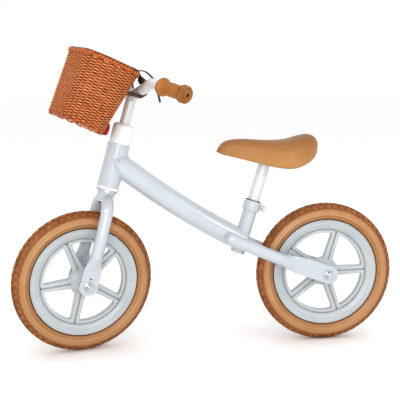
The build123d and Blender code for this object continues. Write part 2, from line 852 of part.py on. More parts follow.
def basket_bumper():
    """The rubber buffer on the basket's back, which keeps it off the head tube."""
    body = Pos(bumper_face, 0, bumper_height) * Rot(0, 90, 0) * rod(bumper_radius, 0, bumper_depth)
    body = fillet(body.edges().group_by(Axis.X)[0], 4.0)
    return body - basket_place() * basket_band(-basket_height - basket_border_height, 0, 0)


# ---- seat ----
def seat_post():
    """The seat post, cut level under the saddle plate."""
    low = seat_tube_length - post_inserted
    rise = (saddle_plate_height - seat_tube_foot[1]) / cos(radians(seat_tilt)) + 20
    post = seat_place * sleeve(post_radius, post_radius - post_wall, low, rise)
    above = Pos(seat_tube_foot[0], 0, saddle_plate_height + 50) * Box(300, 300, 100)
    return post - above


def post_top():
    """The x where the post's axis meets the underside of the saddle plate."""
    return seat_tube_foot[0] - (saddle_plate_height - seat_tube_foot[1]) * tan(radians(seat_tilt))


def bolt_spots():
    """The four places of the saddle bolts."""
    across, along = saddle_bolt_spacing[1] / 2, saddle_bolt_spacing[0] / 2
    return [(post_top() + x, y) for x in (-along, along) for y in (-across, across)]


def saddle_bracket():
    """The steel plate welded on the post."""
    plate = extrude(RectangleRounded(*saddle_plate_size, 8.0), saddle_plate_thickness)
    plate = Pos(post_top(), 0, saddle_plate_height) * plate
    for x, y in bolt_spots():
        plate -= Pos(x, y, saddle_plate_height) * rod(saddle_bolt_radius, -1, saddle_plate_thickness + 1)
    return plate


def saddle_bolts():
    """The four bolts that hold the saddle pan on the plate."""
    bolts = []
    for x, y in bolt_spots():
        top = saddle_plate_thickness + saddle_bolt_depth
        bolt = rod(saddle_bolt_radius, 0, top) + rod(saddle_bolt_head_radius, -saddle_bolt_head_height, 0)
        bolts.append(Pos(x, y, saddle_plate_height) * bolt)
    return bolts


def saddle_slice(x, half_width, crown, hem):
    """One cross-section of the saddle: domed top, rounded flanks, level underside."""
    flank = hem + (crown - hem) * 0.52
    over = ThreePointArc((-half_width, flank), (0, crown), (half_width, flank))
    right = Line((half_width, flank), (half_width * 0.9, hem))
    under = Line((half_width * 0.9, hem), (-half_width * 0.9, hem))
    left = Line((-half_width * 0.9, hem), (-half_width, flank))
    face = make_face([over, right, under, left])
    return Plane(origin=(x, 0, 0), x_dir=(0, 1, 0), z_dir=(1, 0, 0)) * face


def saddle_hollow(lower):
    """The space under the saddle, which also gives the pan its outline."""
    slices = []
    for x, half_width, crown, hem in saddle_stations[1:-1]:
        roof = hem + (crown - hem) * 0.42 - lower
        half = max(half_width - saddle_skin - 2.0, 4.0)
        corners = [(-half, hem - 12.0), (half, hem - 12.0), (half, roof), (-half, roof)]
        face = make_face(Polyline(*corners, close=True))
        slices.append(Plane(origin=(x, 0, 0), x_dir=(0, 1, 0), z_dir=(1, 0, 0)) * face)
    return loft(slices, ruled=True)


def saddle_cover():
    """The padded cover with its flanks turned down round the pan."""
    body = loft([saddle_slice(*station) for station in saddle_stations])
    return body - saddle_hollow(0)


def saddle_pan():
    """The stiff pan inside the cover, with a flat boss for the plate."""
    pan = saddle_hollow(0) - saddle_hollow(saddle_pan_thickness)
    low = saddle_plate_height + saddle_plate_thickness
    boss = extrude(RectangleRounded(*saddle_boss_size, 9.0), 60)
    boss = (Pos(post_top(), 0, low) * boss) & saddle_hollow(0)
    pan += boss
    for x, y in bolt_spots():
        pan -= Pos(x, y, low) * rod(saddle_bolt_radius, -1, saddle_bolt_depth)
    return pan


# ---- write every node ----
def write_wheel(name, place, phase, valve_angle, dropout_inner, dropout_outer):
    """One wheel with its tyre, bearings and axle parts."""
    nodes = {
        "rim": wheel_rim(phase, valve_angle),
        "tyre": tyre(),
        "inner_tube": inner_tube(valve_angle),
        "bearing_outer_rings": on_both_sides(bearing_outer_ring()),
        "bearing_balls": bearing_balls(),
        "bearing_inner_rings": on_both_sides(bearing_inner_ring()),
        "axle": wheel_axle(dropout_outer),
        "axle_spacers": axle_spacers(dropout_inner),
        "axle_washers": axle_washers(dropout_outer),
        "axle_nuts": axle_nuts(dropout_outer),
    }
    for part_name, shape in nodes.items():
        save(f"{name}_{part_name}", place_all(place, shape))


write_wheel("front", steered, front_spoke_phase, front_valve_angle, front_dropout_inner,
            front_dropout_outer)
write_wheel("rear", rear_place, rear_spoke_phase, rear_valve_angle, rear_dropout_inner,
            rear_dropout_outer)

left_stay = chainstay()
frame_nodes = {
    "head_tube": head_tube(),
    "main_tube": main_tube(),
    "seat_tube": seat_tube(),
    "chainstay_left": left_stay,
    "chainstay_right": mirror(left_stay, Plane.XZ),
    "lower_head_cup": head_cup(lower_ball_height, -1),
    "upper_head_cup": head_cup(upper_ball_height, 1),
    "seat_clamp": seat_clamp(),
    "seat_clamp_screw": seat_clamp_screw(),
    "seat_clamp_nut": seat_clamp_nut(),
    "seat_tube_shim": seat_shim(),
    "seat_post": seat_post(),
    "saddle_bracket": saddle_bracket(),
    "saddle_bolts": saddle_bolts(),
    "saddle_pan": saddle_pan(),
    "saddle_cover": saddle_cover(),
}
for node, shape in frame_nodes.items():
    save(node, shape)

left_leg = fork_leg()
left_grip = grip()
left_strap = strap()
steered_nodes = {
    "steerer_tube": steerer_tube(),
    "fork_crown": fork_crown(),
    "fork_leg_left": left_leg,
    "fork_leg_right": mirror(left_leg, Plane.XZ),
    "crown_race": crown_race(),
    "head_cone": head_cone(),
    "head_lock_nut": head_lock_nut(),
    "lower_head_balls": head_balls(lower_ball_height),
    "upper_head_balls": head_balls(upper_ball_height),
    "stem_collar": stem_collar(),
    "stem_collar_screw": stem_collar_screw(),
    "head_cover": head_cover(),
    "stem": stem(),
    "handlebar": handlebar(),
    "grip_left": left_grip,
    "grip_right": mirror(left_grip, Plane.XZ),
    "basket": basket(),
    "basket_rim": basket_rim(),
    "basket_border": basket_border(),
    "strap_left": left_strap,
    "strap_right": mirror(left_strap, Plane.XZ),
    "strap_buckles": on_both_sides(strap_buckle()),
    "basket_bumper": basket_bumper(),
}
for node, shape in steered_nodes.items():
    save(node, place_all(steered, shape))
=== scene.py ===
import math
import bmesh
import bpy
from mathutils import Matrix, Vector


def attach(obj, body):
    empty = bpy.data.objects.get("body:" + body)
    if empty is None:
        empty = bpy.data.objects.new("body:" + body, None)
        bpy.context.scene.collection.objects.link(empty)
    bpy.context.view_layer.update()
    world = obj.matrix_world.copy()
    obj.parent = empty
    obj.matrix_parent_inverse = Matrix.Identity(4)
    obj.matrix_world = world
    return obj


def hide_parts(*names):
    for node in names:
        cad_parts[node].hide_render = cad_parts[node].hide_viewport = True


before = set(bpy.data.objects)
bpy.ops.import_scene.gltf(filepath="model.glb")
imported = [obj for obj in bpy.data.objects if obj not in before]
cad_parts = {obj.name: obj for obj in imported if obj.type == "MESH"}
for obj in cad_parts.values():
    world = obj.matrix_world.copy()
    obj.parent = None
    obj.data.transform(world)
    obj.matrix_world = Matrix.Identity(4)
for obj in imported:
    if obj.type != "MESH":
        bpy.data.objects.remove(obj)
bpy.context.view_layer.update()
collection = bpy.context.scene.collection

# ---- Camera, floor and studio light ----
# A long lens level with the bars, a seamless pale floor and big soft lamps overhead and
# beside the bike, so that gloss paint shows broad highlights and no hard shadow.
azimuth, elevation, roll = math.radians(171.307), math.radians(8.005), math.radians(-0.45)
back = Vector((math.sin(azimuth) * math.cos(elevation), -math.cos(azimuth) * math.cos(elevation),
               math.sin(elevation)))
level = Vector((0, 0, 1)).cross(back).normalized()
upright = back.cross(level)
right = level * math.cos(roll) + upright * math.sin(roll)
up = upright * math.cos(roll) - level * math.sin(roll)
camera = bpy.data.objects.new("camera", bpy.data.cameras.new("camera"))
camera.data.sensor_width = 36
camera.data.lens = 75.82
camera.data.clip_end = 50
camera.matrix_world = Matrix.Translation(Vector((0.0114, 0, 0.3192)) + back * 1.8095) @ Matrix(
    (right, up, back)).transposed().to_4x4()
collection.objects.link(camera)
bpy.context.scene.camera = camera

world = bpy.data.worlds.new("studio")
world.use_nodes = True
world.node_tree.nodes["Background"].inputs["Color"].default_value = (1, 1, 1, 1)
world.node_tree.nodes["Background"].inputs["Strength"].default_value = 1.02
bpy.context.scene.world = world
bpy.context.scene.view_settings.view_transform = "Standard"
bpy.context.scene.view_settings.gamma = 0.75


def add_lamp(name, place, aim, size, power):
    lamp = bpy.data.lights.new(name, "AREA")
    lamp.shape = "DISK"
    lamp.size = size
    lamp.energy = power
    item = bpy.data.objects.new(name, lamp)
    item.location = place
    item.rotation_euler = (Vector(aim) - Vector(place)).to_track_quat("-Z", "Y").to_euler()
    collection.objects.link(item)


add_lamp("key_softbox", (0.35, 2.9, 0.95), (0, 0, 0.3), 1.4, 29)
add_lamp("left_streak_softbox", (2.3, 2.1, 1.5), (0, 0, 0.3), 0.4, 9)
add_lamp("right_streak_softbox", (-1.8, 2.2, 1.6), (0, 0, 0.3), 0.4, 9)
add_lamp("overhead_softbox", (0.2, 0.3, 2.8), (0, 0, 0.3), 1.2, 4)


def linear(code):
    """An sRGB hex colour as the linear RGBA that Blender's sockets take."""
    parts = [int(code[i:i + 2], 16) / 255 for i in (1, 3, 5)]
    return tuple(p / 12.92 if p <= 0.04045 else ((p + 0.055) / 1.055) ** 2.4 for p in parts) + (1,)


def add_node(tree, kind, inputs=None, **settings):
    """A shader node with its settings, its values and the sockets linked into it."""
    node = tree.nodes.new("ShaderNode" + kind)
    for name, value in settings.items():
        setattr(node, name, value)
    for socket, value in (inputs or {}).items():
        if isinstance(value, bpy.types.NodeSocket):
            tree.links.new(value, node.inputs[socket])
        else:
            node.inputs[socket].default_value = value
    return node


def start_surface(name):
    """An empty material and its node tree."""
    surface = bpy.data.materials.new(name)
    surface.use_nodes = True
    surface.node_tree.nodes.clear()
    return surface, surface.node_tree


def set_colours(ramp, *stops):
    """Puts sRGB colours at their places along a colour ramp."""
    band = ramp.color_ramp
    while len(band.elements) < len(stops):
        band.elements.new(0.5)
    for element, (place, code) in zip(band.elements, stops):
        element.position = place
        element.color = linear(code)


def make_piece(name, bm, body, surfaces, place=Matrix(), smooth=True, weld=1e-6):
    """Turns a bmesh into a piece of the bike that rides on a body."""
    bmesh.ops.remove_doubles(bm, verts=bm.verts, dist=weld)
    bmesh.ops.transform(bm, matrix=place, verts=bm.verts)
    bmesh.ops.recalc_face_normals(bm, faces=bm.faces)
    for face in bm.faces:
        face.smooth = smooth
    mesh = bpy.data.meshes.new(name)
    bm.to_mesh(mesh)
    bm.free()
    for surface in surfaces:
        mesh.materials.append(surface)
    piece = bpy.data.objects.new(name, mesh)
    collection.objects.link(piece)
    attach(piece, body)
    return piece


def finish_nodes(surface, *names):
    """Gives CAD nodes a material."""
    for name in names:
        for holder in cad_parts[name].material_slots:
            holder.material = surface


floor_paper, tree = start_surface("matt_white_backdrop_paper")
where = add_node(tree, "TexCoord")
fibres = add_node(tree, "TexNoise", {"Vector": where.outputs["Object"], "Scale": 40.0})
shade = add_node(tree, "ValToRGB", {0: fibres.outputs[0]})
set_colours(shade, (0.3, "#FAFAFA"), (0.7, "#FDFDFD"))
shader = add_node(tree, "BsdfPrincipled", {"Base Color": shade.outputs[0], "Roughness": 0.85})
add_node(tree, "OutputMaterial", {"Surface": shader.outputs[0]})
bm = bmesh.new()
bmesh.ops.create_grid(bm, x_segments=1, y_segments=1, size=30)
mesh = bpy.data.meshes.new("floor")
bm.to_mesh(mesh)
bm.free()
mesh.materials.append(floor_paper)
floor = bpy.data.objects.new("floor", mesh)
collection.objects.link(floor)

# ---- Frame and fork ----
# Welded steel tube in gloss powder coat, a pale blue grey. The coat flows out smooth with a
# faint orange-peel ripple, and it pools a little thicker over the weld fillets.
frame_coat, tree = start_surface("gloss_powder_coat_pale_blue_grey")
where = add_node(tree, "TexCoord")
cloud = add_node(tree, "TexNoise", {"Vector": where.outputs["Object"], "Scale": 9.0, "Detail": 3.0})
shade = add_node(tree, "ValToRGB", {0: cloud.outputs[0]})
set_colours(shade, (0.3, "#B8BDC2"), (0.7, "#BFC4C9"))
rough = add_node(tree, "MapRange", {"Value": cloud.outputs[0], "To Min": 0.2, "To Max": 0.3})
peel = add_node(tree, "TexNoise", {"Vector": where.outputs["Object"], "Scale": 700.0, "Detail": 2.0})
bump = add_node(tree, "Bump", {"Height": peel.outputs[0], "Strength": 0.25, "Distance": 0.00005})
shader = add_node(tree, "BsdfPrincipled", {
    "Base Color": shade.outputs[0], "Roughness": rough.outputs[0], "Normal": bump.outputs[0],
    "IOR": 1.5, "Coat Weight": 1.0, "Coat Roughness": 0.04})
add_node(tree, "OutputMaterial", {"Surface": shader.outputs[0]})
finish_nodes(frame_coat, "head_tube", "main_tube", "seat_tube", "chainstay_left", "chainstay_right",
             "upper_head_cup", "fork_crown", "fork_leg_left", "fork_leg_right", "seat_clamp")


def weld_fillet(name, body, start, end, radius, big_start, big_end, big_radius, width, side):
    """A fillet round a tube where it meets the side of a bigger tube."""
    start, end = Vector(start) / 1000, Vector(end) / 1000
    big_start, big_end = Vector(big_start) / 1000, Vector(big_end) / 1000
    run = (end - start).normalized()
    wide = (big_end - big_start).normalized()
    turn = run.to_track_quat("Z", "Y").to_matrix().to_4x4()
    bm = bmesh.new()
    section = bmesh.ops.create_circle(bm, segments=10, radius=width / 1000)["verts"]
    bmesh.ops.rotate(bm, verts=section, matrix=Matrix.Rotation(math.pi / 2, 3, "X"))
    bmesh.ops.translate(bm, verts=section, vec=(radius / 1000, 0, 0))
    bmesh.ops.spin(bm, geom=bm.verts[:] + bm.edges[:], cent=(0, 0, 0), axis=(0, 0, 1),
                   angle=math.tau, steps=72, use_merge=True)
    for vert in bm.verts:
        flat = Vector((vert.co.x, vert.co.y, 0))
        flat *= (radius / 1000) / flat.length
        foot = start + turn.to_3x3() @ flat
        gap = foot - big_start
        slope = run - wide * run.dot(wide)
        offset = gap - wide * gap.dot(wide)
        a, b = slope.length_squared, slope.dot(offset)
        c = offset.length_squared - (big_radius / 1000) ** 2
        reach = (-b - math.sqrt(max(b * b - a * c, 0))) / a
        vert.co.z += reach * side
    place = Matrix.Translation(start) @ turn
    make_piece(name, bm, body, [frame_coat], place)


weld_fillet("weld_main_to_head", "frame", (120, 0, 358.5), (187, 0, 403.5), 24.0,
            (207.1, 0, 354.4), (183.4, 0, 437.1), 23.5, 2.4, 1)

# ---- Rims ----
# One-piece moulded wheels in satin grey nylon: a ring, a hub, and five spokes with a framed
# window between each pair. The moulded skin has a fine grain and a slightly uneven gloss.
rim_nylon, tree = start_surface("satin_moulded_nylon_light_grey")
where = add_node(tree, "TexCoord")
cloud = add_node(tree, "TexNoise", {"Vector": where.outputs["Object"], "Scale": 14.0, "Detail": 4.0})
shade = add_node(tree, "ValToRGB", {0: cloud.outputs[0]})
set_colours(shade, (0.3, "#B3B7BA"), (0.7, "#BCC0C2"))
rough = add_node(tree, "MapRange", {"Value": cloud.outputs[0], "To Min": 0.3, "To Max": 0.42})
grain = add_node(tree, "TexNoise", {"Vector": where.outputs["Object"], "Scale": 1600.0, "Detail": 1.0})
bump = add_node(tree, "Bump", {"Height": grain.outputs[0], "Strength": 0.2, "Distance": 0.00004})
shader = add_node(tree, "BsdfPrincipled", {
    "Base Color": shade.outputs[0], "Roughness": rough.outputs[0], "Normal": bump.outputs[0],
    "IOR": 1.5})
add_node(tree, "OutputMaterial", {"Surface": shader.outputs[0]})

wheel_places = {
    "front": (Matrix.Translation((0.265, 0, 0.1525)) @ Matrix.Rotation(math.radians(-16), 4, "Y")
              @ Matrix.Rotation(math.radians(15), 4, "Z")),
    "rear": Matrix.Translation((-0.265, 0, 0.1525))}
head_frame = wheel_places["front"]
first_spoke = {"front": 52.0, "rear": 35.0}
spoke_step = math.radians(72)
half_spoke_step = math.radians(36)
spoke_depth = 0.015
# The ring's and the hub's half sections, as radius and distance from the wheel's mid-plane in mm.
half_ring = [(103.6, 7.0), (106.1, 9.0), (106.1, 12.3), (115.5, 12.3), (116.3, 13.0), (116.3, 13.7),
             (115.6, 14.3), (113.4, 14.3), (112.6, 13.6), (112.0, 12.9), (110.8, 12.9), (104.0, 10.9),
             (98.2, 8.4), (96.2, 7.4), (95.2, 6.2), (94.8, 4.6), (94.8, 3.9), (89.0, 3.9)]
half_hub = [(13.0, 30.0), (17.4, 30.0), (18.0, 29.4), (18.0, 19.5), (20.0, 16.5), (27.0, 8.6),
            (28.4, 7.6), (29.4, 5.5), (29.4, 2.5), (29.4, 0.0)]


def spin_section(bm, points, steps, painted_light_tones=None):
    """Turns a closed section, given as radius and height along the axle in mm, about the axle."""
    tone_layer = bm.verts.layers.float.new("tone") if painted_light_tones else None
    section = [bm.verts.new((0, across / 1000, radius / 1000)) for radius, across in points]
    for vert, tone in zip(section, painted_light_tones or []):
        vert[tone_layer] = tone
    rim = [bm.edges.new(pair) for pair in zip(section, section[1:] + section[:1])]
    bmesh.ops.spin(bm, geom=section + rim, cent=(0, 0, 0), axis=(0, 1, 0), angle=math.tau, steps=steps,
                   use_merge=True)


def window_loop(bm, middle, far, near, far_gap, near_gap, corner):
    """A window's outline between two spokes, its four corners rounded."""
    loop, corners = [], []
    for radius, gap, steps, way in ((far, far_gap, 12, 1), (near, near_gap, 4, -1)):
        reach = half_spoke_step - math.asin(gap / radius)
        for step in range(steps + 1):
            share = step / steps * 2 - 1
            angle = middle + reach * share * way
            loop.append(bm.verts.new((radius * math.cos(angle) / 1000, 0,
                                      radius * math.sin(angle) / 1000)))
            if step in (0, steps):
                corners.append(loop[-1])
    for pair in zip(loop, loop[1:] + loop[:1]):
        bm.edges.new(pair)
    bmesh.ops.bevel(bm, geom=corners, affect="VERTICES", offset=corner / 1000, segments=4,
                    profile=0.5, material=-1)


for end, place in wheel_places.items():
    bm = bmesh.new()
    spin_section(bm, half_ring + [(radius, -across) for radius, across in half_ring[::-1]], 150)
    spin_section(bm, half_hub + [(radius, -across) for radius, across in half_hub[-2::-1]], 72)
    for spoke in range(5):
        turn = math.radians(first_spoke[end]) + spoke_step * spoke
        frame_bm = bmesh.new()
        window_loop(frame_bm, turn + half_spoke_step, far=92.9, near=27.0, far_gap=1.3, near_gap=1.3,
                    corner=3.0)
        window_loop(frame_bm, turn + half_spoke_step, far=87.0, near=31.0, far_gap=8.2, near_gap=10.2,
                    corner=5.0)
        bmesh.ops.bridge_loops(frame_bm, edges=frame_bm.edges[:])
        bmesh.ops.recalc_face_normals(frame_bm, faces=frame_bm.faces)
        bmesh.ops.solidify(frame_bm, geom=frame_bm.faces[:], thickness=spoke_depth)
        middle = sum((vert.co.y for vert in frame_bm.verts)) / len(frame_bm.verts)
        bmesh.ops.translate(frame_bm, verts=frame_bm.verts, vec=(0, -middle, 0))
        edges = [edge for edge in frame_bm.edges if edge.is_manifold and edge.calc_face_angle() > 1.2]
        bmesh.ops.bevel(frame_bm, geom=edges, affect="EDGES", offset=0.0011, segments=3, profile=0.5,
                        material=-1)
        frame_mesh = bpy.data.meshes.new("window_frame")
        frame_bm.to_mesh(frame_mesh)
        frame_bm.free()
        bm.from_mesh(frame_mesh)
        web = bmesh.ops.create_cube(bm, size=0.001)["verts"]
        bmesh.ops.scale(bm, verts=web, vec=(68.0, 7.8, 8.0))
        bmesh.ops.translate(bm, verts=web, vec=(0.0595, 0, 0))
        bmesh.ops.rotate(bm, verts=web, matrix=Matrix.Rotation(-turn, 3, "Y"))
    piece = make_piece(end + "_moulded_wheel", bm, end + "_wheel", [rim_nylon], place)
    piece.data.set_sharp_from_angle(angle=math.radians(40))
    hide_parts(end + "_rim")

# ---- Tyres ----
# Tan rubber air tyres. The sidewall is smooth and slightly waxy with a raised moulding line
# by the rim; the tread is a darker tan with small blocks in staggered rows round its edge.
sidewall_rubber, tree = start_surface("tan_sidewall_rubber")
where = add_node(tree, "TexCoord")
cloud = add_node(tree, "TexNoise", {"Vector": where.outputs["Object"], "Scale": 26.0, "Detail": 5.0})
# The tone attribute paints light and shade into the sidewall colour: a painted highlight ring on the
# ridge and painted shade towards the tread and the rim bead.
tone = add_node(tree, "Attribute", attribute_name="tone")
mottle_and_painted_light = add_node(tree, "Math", {0: cloud.outputs[0], 1: 0.35, 2: tone.outputs["Fac"]},
                operation="MULTIPLY_ADD")
shade = add_node(tree, "ValToRGB", {0: mottle_and_painted_light.outputs[0]})
set_colours(shade, (0.2, "#8B5E38"), (0.5, "#A4794F"), (0.75, "#B2885F"), (1.0, "#C8A17B"))
rough = add_node(tree, "MapRange", {"Value": cloud.outputs[0], "To Min": 0.3, "To Max": 0.42})
grain = add_node(tree, "TexNoise", {"Vector": where.outputs["Object"], "Scale": 900.0, "Detail": 3.0})
bump = add_node(tree, "Bump", {"Height": grain.outputs[0], "Strength": 0.35, "Distance": 0.0001})
shader = add_node(tree, "BsdfPrincipled", {
    "Base Color": shade.outputs[0], "Roughness": rough.outputs[0], "Normal": bump.outputs[0],
    "IOR": 1.52, "Sheen Weight": 0.1})
add_node(tree, "OutputMaterial", {"Surface": shader.outputs[0]})

tread_rubber, tree = start_surface("brown_tread_rubber")
where = add_node(tree, "TexCoord")
cloud = add_node(tree, "TexNoise", {"Vector": where.outputs["Object"], "Scale": 45.0, "Detail": 5.0})
shade = add_node(tree, "ValToRGB", {0: cloud.outputs[0]})
set_colours(shade, (0.3, "#8A5831"), (0.5, "#99653B"), (0.72, "#A87448"))
grain = add_node(tree, "TexNoise", {"Vector": where.outputs["Object"], "Scale": 700.0, "Detail": 4.0})
bump = add_node(tree, "Bump", {"Height": grain.outputs[0], "Strength": 0.5, "Distance": 0.00015})
shader = add_node(tree, "BsdfPrincipled", {
    "Base Color": shade.outputs[0], "Roughness": 0.62, "Normal": bump.outputs[0], "IOR": 1.52})
add_node(tree, "OutputMaterial", {"Surface": shader.outputs[0]})

section_centre = 0.1325
tyre_steps = 300
tread_edge = 63
inner_reach = 0.0166
block_height = 0.0021
# By degrees round the section from the tread's middle: how light the sidewall is, which is painted
# light and shade (a painted highlight ring on the moulding ridge at 101, and painted shade towards the
# tread and down into the bead by the rim), and how far its moulding lines stand out in metres.
painted_light_tones = {62: 0.25, 72: 0.42, 84: 0.6, 98: 0.55, 101: 0.95, 104: 0.55, 112: 0.4, 124: 0.3, 129: 0.35,
         134: 0.1, 139: 0.0, 144: 0.0}
proud = {129: 0.0007, 134: 0.0007, 101: 0.0009}
half_leans = [0, 12, 24, 29, 38, 48, 57, 62, 72, 84, 98, 101, 104, 112, 124, 129, 134, 139, 144]
for end, place in wheel_places.items():
    bm = bmesh.new()
    outline = []
    for lean in [-lean for lean in half_leans[:0:-1]] + half_leans:
        reach = 0.0195 if abs(lean) > 70 else 0.0186 if abs(lean) > 60 else 0.0179
        outline.append((lean, reach + proud.get(abs(lean), 0)))
    outline += [(lean, inner_reach) for lean in (144, 100, 50, 0, -50, -100, -144)]
    section = [((section_centre + reach * math.cos(math.radians(lean))) * 1000,
                reach * math.sin(math.radians(lean)) * 1000) for lean, reach in outline]
    spin_section(bm, section, tyre_steps, [painted_light_tones.get(abs(lean), 0.5) for lean, reach in outline])
    bmesh.ops.remove_doubles(bm, verts=bm.verts, dist=1e-6)
    bmesh.ops.recalc_face_normals(bm, faces=bm.faces)
    blocks = []
    for face in bm.faces:
        middle = face.calc_center_median()
        radius = math.hypot(middle.x, middle.z)
        lean = math.degrees(math.atan2(middle.y, radius - section_centre))
        step = int((math.atan2(middle.z, middle.x) % math.tau) / math.tau * tyre_steps)
        if math.hypot(middle.y, radius - section_centre) < 0.0172:
            continue
        if abs(lean) < tread_edge:
            face.material_index = 1
        shoulder = 29 < abs(lean) < 62 and step % 5 < 3
        crown = (0 < lean < 24 and step % 5 != 1) or (-24 < lean < 0 and step % 5 != 4)
        if shoulder or crown:
            blocks.append(face)
    raised = bmesh.ops.extrude_face_region(bm, geom=blocks)["geom"]
    bmesh.ops.delete(bm, geom=blocks, context="FACES_ONLY")
    for vert in [item for item in raised if isinstance(item, bmesh.types.BMVert)]:
        radius = math.hypot(vert.co.x, vert.co.z)
        out = Vector((vert.co.x / radius, 0, vert.co.z / radius))
        radial, across = radius - section_centre, vert.co.y
        push = block_height / math.hypot(radial, across)
        vert.co += out * radial * push + Vector((0, across * push, 0))
    piece = make_piece(end + "_air_tyre", bm, end + "_wheel",
                       [sidewall_rubber, tread_rubber], place)
    piece.data.set_sharp_from_angle(angle=math.radians(45))
    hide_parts(end + "_tyre")

# ---- Axles, nuts, washers and bearings ----
# Zinc-plated steel hardware, bright, with the fine swirl that barrel plating leaves. The
# spacers and stem collar are turned aluminium, and the bearing rings and balls ground steel.
zinc_steel, tree = start_surface("bright_zinc_plated_steel")
where = add_node(tree, "TexCoord")
swirl = add_node(tree, "TexNoise", {"Vector": where.outputs["Object"], "Scale": 260.0, "Detail": 4.0})
shade = add_node(tree, "ValToRGB", {0: swirl.outputs[0]})
set_colours(shade, (0.3, "#B9BDC0"), (0.7, "#D6D9DB"))
rough = add_node(tree, "MapRange", {"Value": swirl.outputs[0], "To Min": 0.22, "To Max": 0.4})
bump = add_node(tree, "Bump", {"Height": swirl.outputs[0], "Strength": 0.2, "Distance": 0.0001})
shader = add_node(tree, "BsdfPrincipled", {
    "Base Color": shade.outputs[0], "Roughness": rough.outputs[0], "Normal": bump.outputs[0],
    "Metallic": 1.0})
add_node(tree, "OutputMaterial", {"Surface": shader.outputs[0]})
finish_nodes(zinc_steel, "rear_axle", "front_axle", "rear_axle_nuts", "front_axle_nuts",
             "rear_axle_washers", "front_axle_washers", "seat_clamp_nut", "seat_clamp_screw",
             "steerer_tube", "crown_race", "head_cone", "head_lock_nut", "stem_collar_screw",
             "saddle_bolts", "saddle_bracket")

ground_steel, tree = start_surface("ground_bearing_steel")
where = add_node(tree, "TexCoord")
lines = add_node(tree, "TexNoise", {"Vector": where.outputs["Object"], "Scale": 500.0, "Detail": 2.0})
rough = add_node(tree, "MapRange", {"Value": lines.outputs[0], "To Min": 0.14, "To Max": 0.26})
shade = add_node(tree, "ValToRGB", {0: lines.outputs[0]})
set_colours(shade, (0.3, "#B4B6B8"), (0.7, "#C9CBCC"))
shader = add_node(tree, "BsdfPrincipled", {
    "Base Color": shade.outputs[0], "Roughness": rough.outputs[0], "Metallic": 1.0})
add_node(tree, "OutputMaterial", {"Surface": shader.outputs[0]})
finish_nodes(ground_steel, "rear_bearing_inner_rings", "front_bearing_inner_rings",
             "rear_bearing_outer_rings", "front_bearing_outer_rings", "rear_bearing_balls",
             "front_bearing_balls", "lower_head_balls", "upper_head_balls")

turned_alloy, tree = start_surface("turned_aluminium")
where = add_node(tree, "TexCoord")
lines = add_node(tree, "TexNoise", {"Vector": where.outputs["Object"], "Scale": 800.0, "Detail": 2.0})
rough = add_node(tree, "MapRange", {"Value": lines.outputs[0], "To Min": 0.3, "To Max": 0.45})
shade = add_node(tree, "ValToRGB", {0: lines.outputs[0]})
set_colours(shade, (0.3, "#BFC1C3"), (0.7, "#CFD0D1"))
shader = add_node(tree, "BsdfPrincipled", {
    "Base Color": shade.outputs[0], "Roughness": rough.outputs[0], "Metallic": 1.0})
add_node(tree, "OutputMaterial", {"Surface": shader.outputs[0]})
finish_nodes(turned_alloy, "rear_axle_spacers", "front_axle_spacers", "stem_collar")

# ---- Inner tubes and seat parts in black ----
# Butyl air tubes with their valves, and the black polypropylene saddle pan and post sleeve,
# both moulded with a fine matt grain.
black_butyl, tree = start_surface("black_butyl_rubber")
where = add_node(tree, "TexCoord")
talc = add_node(tree, "TexNoise", {"Vector": where.outputs["Object"], "Scale": 120.0, "Detail": 4.0})
shade = add_node(tree, "ValToRGB", {0: talc.outputs[0]})
set_colours(shade, (0.35, "#1C1C1D"), (0.75, "#2B2B2C"))
bump = add_node(tree, "Bump", {"Height": talc.outputs[0], "Strength": 0.3, "Distance": 0.0001})
shader = add_node(tree, "BsdfPrincipled", {
    "Base Color": shade.outputs[0], "Roughness": 0.6, "Normal": bump.outputs[0]})
add_node(tree, "OutputMaterial", {"Surface": shader.outputs[0]})
finish_nodes(black_butyl, "rear_inner_tube", "front_inner_tube")

black_plastic, tree = start_surface("black_grained_polypropylene")
where = add_node(tree, "TexCoord")
grain = add_node(tree, "TexVoronoi", {"Vector": where.outputs["Object"], "Scale": 900.0})
shade = add_node(tree, "ValToRGB", {0: grain.outputs[0]})
set_colours(shade, (0.2, "#222223"), (0.8, "#2E2E2F"))
bump = add_node(tree, "Bump", {"Height": grain.outputs[0], "Strength": 0.4, "Distance": 0.0001})
shader = add_node(tree, "BsdfPrincipled", {
    "Base Color": shade.outputs[0], "Roughness": 0.55, "Normal": bump.outputs[0]})
add_node(tree, "OutputMaterial", {"Surface": shader.outputs[0]})
finish_nodes(black_plastic, "saddle_pan", "seat_tube_shim")

# ---- Handlebar, stem, seat post and head cover ----
# Steel tubes in gloss white enamel with a faint orange-peel ripple. The cap over the head
# bearing and the ring under it are moulded white ABS, a little brighter and less glossy.
white_enamel, tree = start_surface("gloss_white_enamel")
where = add_node(tree, "TexCoord")
cloud = add_node(tree, "TexNoise", {"Vector": where.outputs["Object"], "Scale": 12.0, "Detail": 3.0})
shade = add_node(tree, "ValToRGB", {0: cloud.outputs[0]})
set_colours(shade, (0.3, "#CCCECE"), (0.7, "#D3D4D4"))
rough = add_node(tree, "MapRange", {"Value": cloud.outputs[0], "To Min": 0.18, "To Max": 0.28})
peel = add_node(tree, "TexNoise", {"Vector": where.outputs["Object"], "Scale": 800.0, "Detail": 2.0})
bump = add_node(tree, "Bump", {"Height": peel.outputs[0], "Strength": 0.2, "Distance": 0.00004})
shader = add_node(tree, "BsdfPrincipled", {
    "Base Color": shade.outputs[0], "Roughness": rough.outputs[0], "Normal": bump.outputs[0],
    "IOR": 1.5, "Coat Weight": 0.4, "Coat Roughness": 0.06})
add_node(tree, "OutputMaterial", {"Surface": shader.outputs[0]})
finish_nodes(white_enamel, "handlebar", "stem", "seat_post")

